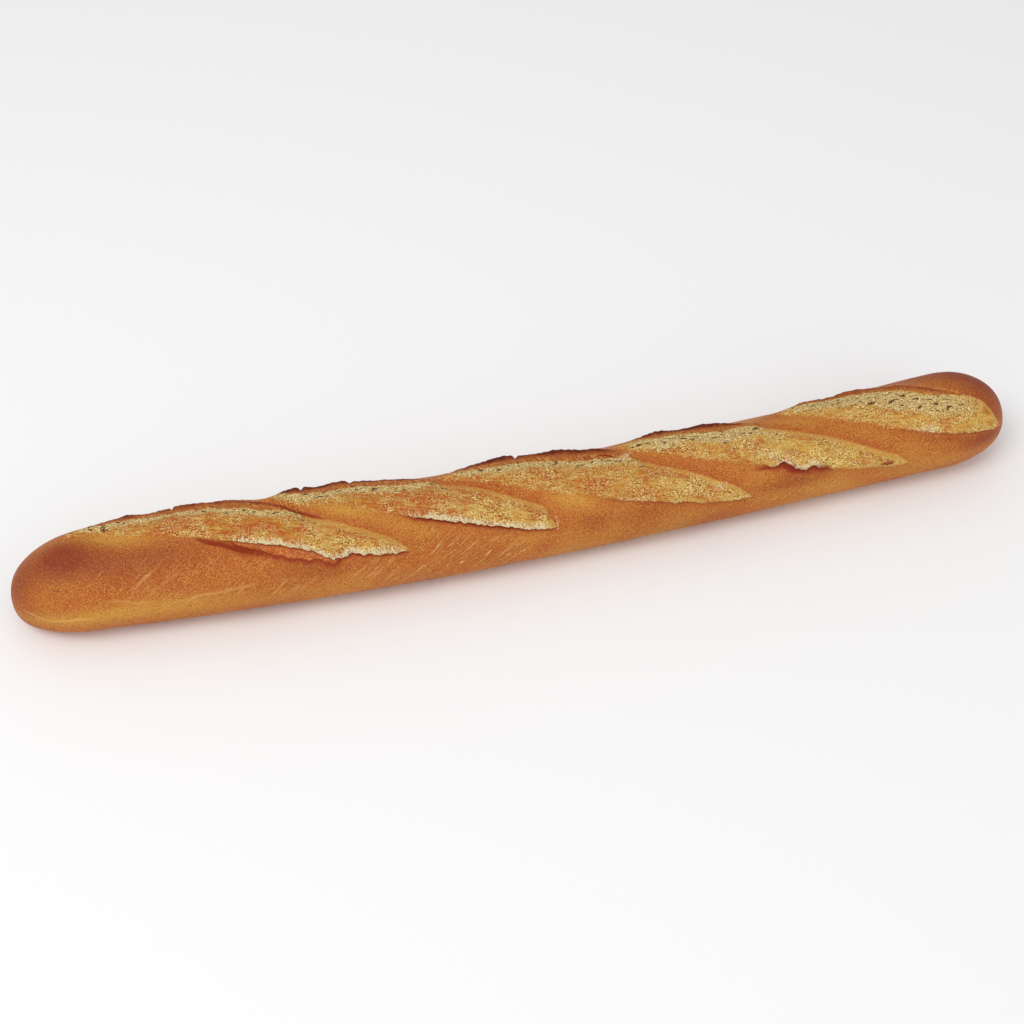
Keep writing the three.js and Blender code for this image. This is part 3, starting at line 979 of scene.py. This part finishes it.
class Shader:
    """A material being put together from nodes."""

    def __init__(self, name: str) -> None:
        """Starts a material that has no nodes yet."""
        self.material = bpy.data.materials.new(name)
        self.material.use_nodes = True
        self.tree = self.material.node_tree
        self.tree.nodes.clear()

    def add(self, kind: str, settings: dict[str, object], inputs: dict[object, Input]) -> bpy.types.Node:
        """Adds a node.

        Args:
            kind: the node's Blender type.
            settings: properties set first, such as an operation.
            inputs: values or links for its sockets, by name or number.

        Returns:
            The new node.
        """
        node = self.tree.nodes.new(kind)
        for name, setting in settings.items():
            setattr(node, name, setting)
        for name, value in inputs.items():
            socket = node.inputs[name]
            if isinstance(value, Value):
                value = value.socket
            if isinstance(value, bpy.types.NodeSocket):
                self.tree.links.new(value, socket)
            elif isinstance(value, tuple) and len(value) == 3 and len(socket.default_value) == 4:
                socket.default_value = (*value, 1.0)
            else:
                socket.default_value = value
        return node

    def attribute(self, mask: Mask) -> Value:
        """A mask's vertex attribute."""
        node = self.add("ShaderNodeAttribute", {"attribute_name": mask.value}, {})
        return Value(self, node.outputs["Fac"])

    def mix(self, factor: Input, below: Input, above: Input) -> bpy.types.NodeSocket:
        """Colour below where the factor is 0, above where it is 1."""
        inputs = {0: factor, 6: below, 7: above}
        node = self.add("ShaderNodeMix", {"data_type": "RGBA", "clamp_factor": True}, inputs)
        return node.outputs[2]

    def noise(self, where: Input, scale: float, detail: float, roughness: float,
              distortion: float = 0.0) -> Value:
        """Cloudy noise about 0.5, with that many features a unit."""
        inputs = {"Scale": scale, "Detail": detail, "Roughness": roughness, "Distortion": distortion}
        node = self.add("ShaderNodeTexNoise", {}, {"Vector": where, **inputs})
        return Value(self, node.outputs["Fac"])

    def stretched(self, where: Input, scale: tuple[float, float, float], turn: float) -> bpy.types.NodeSocket:
        """Coordinates turned by an angle in degrees about Z and then scaled."""
        rotation = (0.0, 0.0, math.radians(turn))
        turned = self.add("ShaderNodeMapping", {}, {"Vector": where, "Rotation": rotation})
        inputs = {"Vector": turned.outputs[0], "Scale": scale}
        return self.add("ShaderNodeMapping", {}, inputs).outputs[0]

    def surface(self, inputs: dict[object, Input]) -> bpy.types.Material:
        """The finished material: one principled surface with those inputs."""
        surface = self.add("ShaderNodeBsdfPrincipled", {}, inputs)
        self.add("ShaderNodeOutputMaterial", {}, {"Surface": surface.outputs[0]})
        return self.material


@dataclass(frozen=True)
class Patterns:
    """The noises of the crust, all about 0.5, and the pores and lines, which are 1 there and 0 elsewhere."""

    cloud: Value
    drift: Value
    mottle: Value
    grit: Value
    tufts: Value
    patches: Value
    fibres: Value
    threads: Value
    streaks: Value
    pores: Value
    lines: Value


@dataclass(frozen=True)
class CrustFinish:
    """Baked crust: smooth brown skin, grainy open bloom, pale torn crumb and charred lips, with painted shade
    and highlights.

    Each method lays colours over one another by masks with noise on them. An amount is a sum of a mask and
    noises about 0.5, times a gain, held in 0 to 1.
    """

    skin: Colour = linear(190, 111, 48)
    skin_red: Colour = linear(174, 84, 36)
    skin_brown: Colour = linear(138, 56, 32)
    skin_gold: Colour = linear(208, 152, 64)
    bloom_orange: Colour = linear(194, 92, 26)
    bloom_tan: Colour = linear(202, 132, 46)
    bloom_ripe: Colour = linear(224, 172, 76)
    bloom_dark: Colour = linear(128, 66, 26)
    bloom_light: Colour = linear(255, 236, 160)
    wrinkle_gold: Colour = linear(252, 206, 124)
    rim_gold: Colour = linear(222, 164, 82)
    face_brown: Colour = linear(182, 94, 40)
    face_gold: Colour = linear(224, 164, 84)
    face_dark: Colour = linear(134, 58, 30)
    face_red: Colour = linear(146, 54, 26)
    crest: Colour = linear(100, 36, 24)
    torn_tan: Colour = linear(208, 164, 90)
    torn_light: Colour = linear(255, 240, 180)
    torn_dark: Colour = linear(106, 60, 30)
    pore: Colour = linear(84, 40, 20)
    frill_pale: Colour = linear(244, 230, 186)
    # red of the painted shade in clefts and creases, and of the shelf's dark threads
    shade_and_thread_red: Colour = linear(146, 48, 24)

    def crust(self, shader: Shader, noises: Patterns, masks: dict[Mask, Value]) -> Input:
        """Colour of the smooth crust: red, gold and brown clouds, painted shade and highlights, grit and pale
        wrinkles.
        """
        cloud, mottle, grit = noises.cloud, noises.mottle, noises.grit
        colour = shader.mix((cloud - 0.5) * 3.0 + 0.4, self.skin, self.skin_red)
        colour = shader.mix((noises.drift - 0.52) * 3.0, colour, self.skin_gold)
        # gold spots: paler crust, partly painted highlights on the lit tops of the strips
        colour = shader.mix(masks[Mask.GOLD_AND_HIGHLIGHT] + (cloud - 0.5) * 0.6 - 0.05, colour, self.skin_gold)
        # painted shade: redder crust round the clefts and in the folds above the rims
        colour = shader.mix(masks[Mask.SHADE] * 0.7, colour, self.skin_red)
        colour = shader.mix(masks[Mask.BROWNING] + (mottle - 0.5) * 0.5, colour, self.skin_brown)
        speckled = ((grit - 0.5) * 3.6 + (mottle - 0.5) * 0.8).held() * (1.0 - masks[Mask.BROWNING] * 0.7)
        colour = shader.mix(speckled, colour, self.skin_gold)
        colour = shader.mix((0.46 - grit) * 4.0, colour, self.skin_brown)
        return shader.mix(noises.lines * 0.8, colour, self.wrinkle_gold)

    def flesh(self, shader: Shader, noises: Patterns, masks: dict[Mask, Value]) -> Input:
        """Colour of the open bloom: tan to ripe gold, with orange patches and a light and dark grain."""
        ripe, patches, fibres = masks[Mask.RIPE], noises.patches, noises.fibres
        threads, grit = noises.threads, noises.grit
        rough = (noises.mottle - 0.3) * (ripe * 0.9 + 1.9)
        toasted = ((patches - 0.51) * 8.0 + masks[Mask.TOAST] * 1.3).held() * (0.95 - ripe * 0.3)
        colour = shader.mix(ripe, self.bloom_tan, self.bloom_ripe)
        for amount, over in (
            (toasted, self.bloom_orange),
            (patches.below(0.43, 6.0) * 0.4, self.bloom_light),
            (fibres.above(0.53, 9.0) * (0.8 - ripe * 0.3), self.bloom_orange),
            (fibres.below(0.45, 8.0) * 0.35, self.bloom_light),
            (threads.above(0.54, 10.0) * rough, self.bloom_light),
            (threads.below(0.44, 10.0) * rough, self.bloom_dark),
            (grit.above(0.54, 12.0) * rough, self.bloom_light),
            (grit.below(0.44, 12.0) * rough, self.bloom_dark),
        ):
            colour = shader.mix(amount, colour, over)
        return colour

    def crumb(self, shader: Shader, noises: Patterns) -> Input:
        """Colour of the torn crumb: tan and cream grain with dark threads and pores."""
        colour = shader.mix((noises.grit - 0.5) * 12.0, self.torn_tan, self.torn_light)
        colour = shader.mix((0.44 - noises.threads) * 12.0, colour, self.torn_dark)
        return shader.mix(noises.pores * 0.9, colour, self.pore)

    def wall(self, shader: Shader, noises: Patterns, masks: dict[Mask, Value]) -> Input:
        """Colour of the lip's face: brown with gold and dark streaks, and redder towards the crest."""
        streaks, grit = noises.streaks, noises.grit
        colour = shader.mix((streaks - 0.52) * 7.0, self.face_brown, self.face_gold)
        colour = shader.mix((0.47 - streaks) * 7.0, colour, self.face_dark)
        colour = shader.mix(grit.above(0.52, 8.0) * 0.7, colour, self.face_gold)
        reddened = (masks[Mask.CREST] * 1.5 + (streaks - 0.5) * 2.4).ramped(0.3, 1.1)
        return shader.mix(reddened * 0.8, colour, self.face_red)

    def shelf(self, shader: Shader, noises: Patterns) -> Input:
        """Colour of the second torn shelf: orange and red fibres with light grit and dark threads."""
        colour = shader.mix((noises.fibres - 0.4) * 5.0, self.bloom_orange, self.skin_red)
        colour = shader.mix(noises.grit.above(0.52, 8.0) * 0.35, colour, self.bloom_light)
        return shader.mix(noises.threads.below(0.48, 6.0) * 0.6, colour, self.shade_and_thread_red)

    def patterns(self, shader: Shader, masks: dict[Mask, Value]) -> Patterns:
        """The noises: some fill space, and some are drawn out along the scores on the crust map."""
        place = shader.add("ShaderNodeTexCoord", {}, {}).outputs["Object"]
        plan = shader.add("ShaderNodeUVMap", {"uv_map": "CrustPlan"}, {}).outputs[0]
        along = shader.stretched
        creases = shader.noise(along(plan, (0.25, 5.0, 1.0), 38.0), 9.0, 2.0, 0.5, 0.3)
        present = shader.noise(plan, 7.0, 1.0, 0.5).ramped(0.34, 0.5)
        holes = shader.noise(along(plan, (0.45, 1.0, 1.0), 0.0), 40.0, 1.0, 0.5)
        folds = (creases - 0.5).combine("ABSOLUTE").ramped(0.024, 0.0)
        return Patterns(
            cloud=shader.noise(place, 30.0, 3.0, 0.6),
            drift=shader.noise(place, 18.0, 2.0, 0.5),
            mottle=shader.noise(place, 110.0, 3.0, 0.6),
            grit=shader.noise(place, 1250.0, 1.0, 0.6),
            tufts=shader.noise(place, 1100.0, 2.0, 0.7, 0.4),
            patches=shader.noise(along(plan, (1.0, 2.2, 1.0), -14.0), 6.0, 3.0, 0.65),
            fibres=shader.noise(along(plan, (1.0, 6.0, 1.0), -14.0), 14.0, 3.0, 0.65),
            threads=shader.noise(along(plan, (1.0, 2.4, 1.0), -14.0), 52.0, 2.0, 0.7, 0.5),
            streaks=shader.noise(along(plan, (5.0, 1.2, 1.0), 14.0), 14.0, 3.0, 0.65),
            pores=(0.37 - holes).ramped(0.0, 0.015),
            lines=folds * masks[Mask.WRINKLES] * present,
        )

    def colour(self, shader: Shader, noises: Patterns, masks: dict[Mask, Value]) -> Input:
        """Colour everywhere: crust, then bloom, rim, torn crumb, face, crest, shelf, frill, painted cleft
        shade, ridges.
        """
        mottle, tufts, streaks, grit = noises.mottle, noises.tufts, noises.streaks, noises.grit
        bloom, torn, frilly = masks[Mask.BLOOM], masks[Mask.TORN], masks[Mask.FRILL]
        edge = (bloom + (tufts - 0.5) * 1.6 + (mottle - 0.5) * 0.6).ramped(0.25, 0.8) * (bloom * 6.0).held()
        rim = (masks[Mask.RIM] * 1.3 - (mottle - 0.35) + (tufts - 0.5) * 1.2).ramped(0.2, 0.9)
        tear = torn * 1.4 + (tufts - 0.5) * 2.0 + (noises.patches - 0.5) * 1.2 - mottle * 0.5
        face = (masks[Mask.FACE] * 1.4 + (tufts - 0.5) * 1.2 - mottle * 0.5).ramped(0.15, 0.7)
        crest = (masks[Mask.CREST] * 1.3 - tufts * 0.7).ramped(0.4, 0.9)
        frill = (frilly * 1.4 + (streaks - 0.5) * 3.0 + (tufts - 0.5) * 3.0).ramped(0.55, 1.25)
        # amount of painted shade in the clefts and creases, broken up by noise
        cleft = masks[Mask.CLEFT_SHADE] * 1.45 + (tufts - 0.5) * 1.6 + (grit - 0.5) * 1.6
        colour = self.crust(shader, noises, masks)
        for amount, over in (
            (edge, self.flesh(shader, noises, masks)),
            (rim * 0.5, self.rim_gold),
            (tear.ramped(0.1, 0.8) * (torn * 5.0).held() * 0.95, self.crumb(shader, noises)),
            (face * 0.95, self.wall(shader, noises, masks)),
            (crest * 0.9, self.crest),
            (masks[Mask.SHELF] * 0.9, self.shelf(shader, noises)),
            (frill * (frilly * 5.0).held() * 0.9,
             shader.mix(grit.below(0.46, 8.0) * 0.8, self.frill_pale, self.face_brown)),
            # painted shade: dark red in the clefts and creases
            (cleft.ramped(0.15, 1.1) * (masks[Mask.CLEFT_SHADE] * 5.0).held() * 0.95, self.shade_and_thread_red),
            (masks[Mask.RIDGE] * (mottle + 0.3), self.wrinkle_gold),
        ):
            colour = shader.mix(amount, colour, over)
        return colour

    def build(self) -> bpy.types.Material:
        """The material: its colour, rougher where the crumb is open, and a bump of tufts, grit and pores."""
        shader = Shader("baked_crust")
        masks = {mask: shader.attribute(mask) for mask in Mask}
        noises = self.patterns(shader, masks)
        open_crumb = (masks[Mask.BLOOM] + masks[Mask.TORN]).held()
        height = (noises.tufts * 1.3 + noises.grit * 0.5) * (open_crumb * 0.9 + 0.12)
        height = height - noises.lines * 0.25 - noises.pores * masks[Mask.TORN] * 0.8
        bump = shader.add("ShaderNodeBump", {}, {"Strength": 0.9, "Distance": 0.001, "Height": height})
        return shader.surface({
            "Base Color": self.colour(shader, noises, masks),
            "Roughness": 0.55 + open_crumb * 0.25 + (noises.mottle - 0.5) * 0.2,
            "Normal": bump.outputs[0],
            "Specular IOR Level": 0.15,
        })


@dataclass(frozen=True)
class Lamp:
    """A square soft light turned towards the loaf: its place and side in metres and its power in watts."""

    name: str
    place: tuple[float, float, float]
    side: float
    watts: float

    def build(self) -> None:
        """Adds the light, its back along the line from the loaf to its place."""
        data = bpy.data.lights.new(self.name, "AREA")
        data.size = self.side
        data.energy = self.watts
        light = bpy.data.objects.new(self.name, data)
        light.location = self.place
        light.rotation_euler = (-Vector(self.place)).to_track_quat("-Z", "Y").to_euler()
        bpy.context.scene.collection.objects.link(light)


@dataclass(frozen=True)
class Studio:
    """The plain pale floor, the soft light and the camera on the loaf, in metres and degrees.

    Attributes:
        azimuth, elevation, distance, aim: where the camera stands, seen from the place that it aims at.
        focal_pixels, image_pixels, sensor: focal length and picture width in pixels, and sensor width in mm.
        floor_size, floor_colour, floor_roughness: the floor's side and finish.
        sky_colour, sky, clip, lamps: the even surround, the camera's nearest and farthest sight, the lamps.
    """

    azimuth: float = -14.33
    elevation: float = 48.0
    distance: float = 0.95
    focal_pixels: float = 1631.7
    image_pixels: float = 1024.0
    sensor: float = 36.0
    aim: tuple[float, float, float] = (-0.01348, -0.003837, 0.02371)
    floor_size: float = 12.0
    floor_colour: Colour = (0.97, 0.97, 0.97)
    floor_roughness: float = 0.9
    sky_colour: Colour = (1.0, 1.0, 1.0)
    sky: float = 0.68
    clip: tuple[float, float] = (0.01, 50.0)
    lamps: tuple[Lamp, ...] = (
        Lamp("key", (-0.9, -0.5, 1.6), 0.9, 11.0),
        Lamp("fill", (0.9, -1.6, 1.1), 1.4, 4.5),
    )

    def camera(self) -> None:
        """A camera at the aim plus distance times (sin a cos e, -cos a cos e, sin e), turned to the aim."""
        a, e = math.radians(self.azimuth), math.radians(self.elevation)
        back = Vector((math.sin(a) * math.cos(e), -math.cos(a) * math.cos(e), math.sin(e)))
        data = bpy.data.cameras.new("camera")
        data.sensor_width = self.sensor
        data.lens = self.focal_pixels / self.image_pixels * self.sensor
        data.clip_start, data.clip_end = self.clip
        camera = bpy.data.objects.new("camera", data)
        camera.location = Vector(self.aim) + back * self.distance
        camera.rotation_euler = (-back).to_track_quat("-Z", "Y").to_euler()
        bpy.context.scene.collection.objects.link(camera)
        bpy.context.scene.camera = camera

    def floor(self) -> None:
        """A flat pale square just under the loaf."""
        half = self.floor_size / 2.0
        mesh = bpy.data.meshes.new("floor")
        corners = [(-half, -half, 0.0), (half, -half, 0.0), (half, half, 0.0), (-half, half, 0.0)]
        mesh.from_pydata(corners, [], [(0, 1, 2, 3)])
        finish = {"Base Color": self.floor_colour, "Roughness": self.floor_roughness}
        mesh.materials.append(Shader("pale_floor").surface(finish))
        floor = bpy.data.objects.new("floor", mesh)
        bpy.context.scene.collection.objects.link(floor)
        floor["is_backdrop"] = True

    def build(self) -> None:
        """Camera, floor, an even white surround and two soft lamps."""
        self.camera()
        self.floor()
        world = bpy.data.worlds.new("surround")
        world.use_nodes = True
        background = world.node_tree.nodes["Background"]
        background.inputs["Color"].default_value = (*self.sky_colour, 1.0)
        background.inputs["Strength"].default_value = self.sky
        bpy.context.scene.world = world
        for lamp in self.lamps:
            lamp.build()
        bpy.context.scene.view_settings.view_transform = "Standard"


def corners(box: tuple[Vector, Vector]) -> list[list[float]]:
    """A box's two corners as plain lists of numbers."""
    return [list(corner) for corner in box]


def main() -> None:
    """Builds the studio and the loaf."""
    cad_box = corners(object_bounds())
    Studio().build()
    LOG.info("studio: camera, floor and lights")
    loaf = Loaf().build()
    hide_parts("baguette")
    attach(loaf, "root")
    LOG.info("%s: %d faces", loaf.name, len(loaf.data.polygons))
    {"cad": cad_box, "visual": corners(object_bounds())}


if __name__ == "__main__":
    logging.basicConfig(level=logging.INFO, format="%(name)s: %(message)s")
    main()
